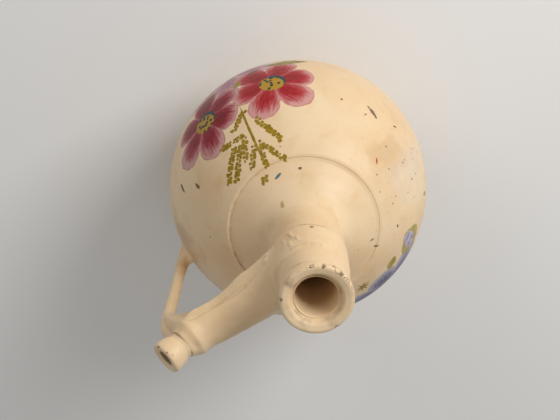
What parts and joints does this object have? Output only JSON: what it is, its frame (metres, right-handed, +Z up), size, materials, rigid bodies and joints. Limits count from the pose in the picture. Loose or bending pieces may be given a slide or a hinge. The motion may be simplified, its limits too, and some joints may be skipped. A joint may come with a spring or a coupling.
{
  "type": "water jug",
  "caption": "Round-bellied earthenware water jug, a botijo, with a short neck and rolled mouth, a hollow spout that serves as the grip, and a slim brace from spout to belly.",
  "frame": {"origin": "middle of the flat base, on the plane that the jug stands on", "axes": "+Z up through the mouth, +X towards the spout, +Y completes a right-handed frame"},
  "size_m": [0.2162, 0.2, 0.2972],
  "materials": {
    "cream_painted_clay": "worn satin cream paint on fired clay"
  },
  "bodies": {
    "root": {"body": "cream_painted_clay", "shoulder": "cream_painted_clay", "neck": "cream_painted_clay", "mouth_lip": "cream_painted_clay", "neck_collar": "cream_painted_clay", "spout_tube": "cream_painted_clay", "spout_tip": "cream_painted_clay", "brace_strut": "cream_painted_clay", "brace_foot_wad": "cream_painted_clay", "brace_head_wad": "cream_painted_clay"}
  },
  "joints": []
}
